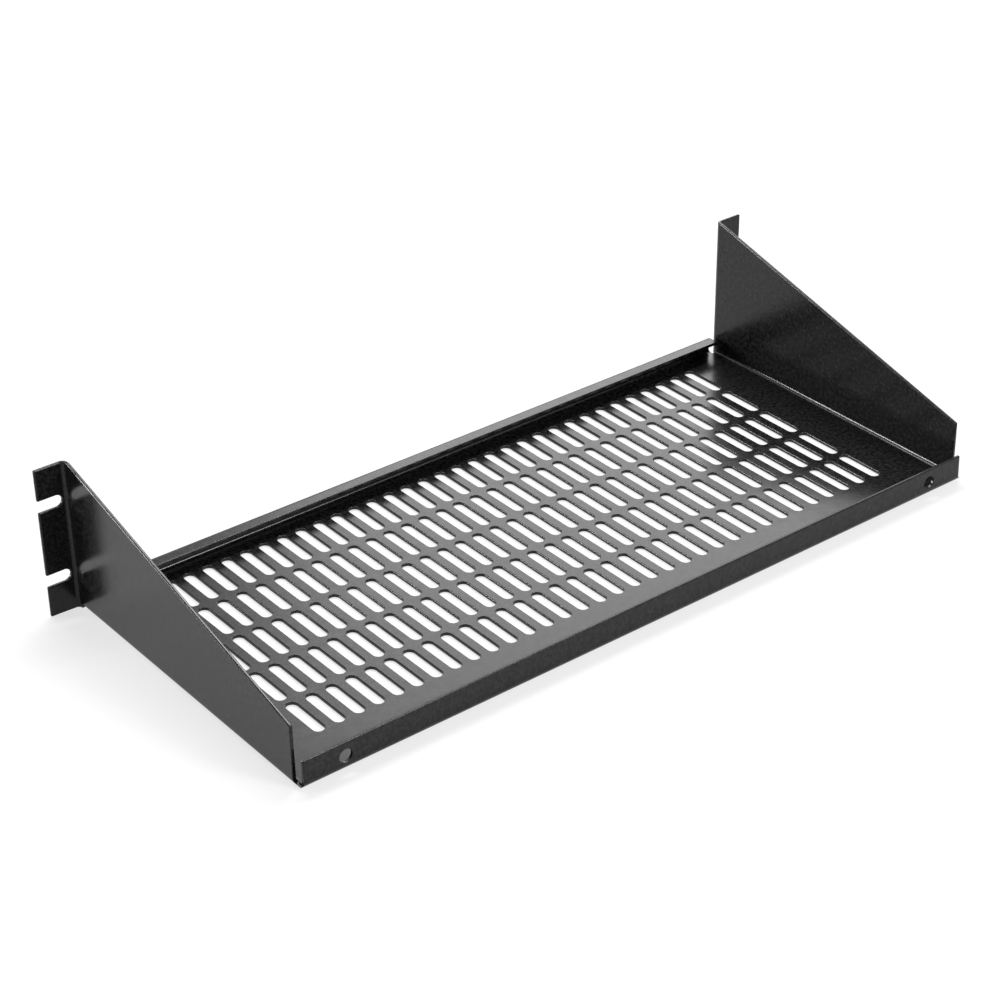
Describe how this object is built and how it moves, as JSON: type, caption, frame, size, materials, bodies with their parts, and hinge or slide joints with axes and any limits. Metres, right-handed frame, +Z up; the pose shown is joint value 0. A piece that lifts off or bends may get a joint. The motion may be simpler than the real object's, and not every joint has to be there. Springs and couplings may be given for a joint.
{
  "type": "cantilever rack shelf",
  "caption": "Vented cantilever shelf for a 19-inch rack: a folded steel tray with sloping side panels and notched ears that screw to the front rails to carry light equipment.",
  "frame": {"origin": "middle of the shelf, in the plane of the ears' rail face, level with the underside of the floor", "axes": "+X across the rack, +Y from the rack face back into the rack, +Z up"},
  "size_m": [0.4826, 0.2051, 0.0874],
  "materials": {
    "powder_coat": "black powder coat with a fine grain, semi-gloss"
  },
  "bodies": {
    "root": {"shelf": "powder_coat"}
  },
  "joints": []
}
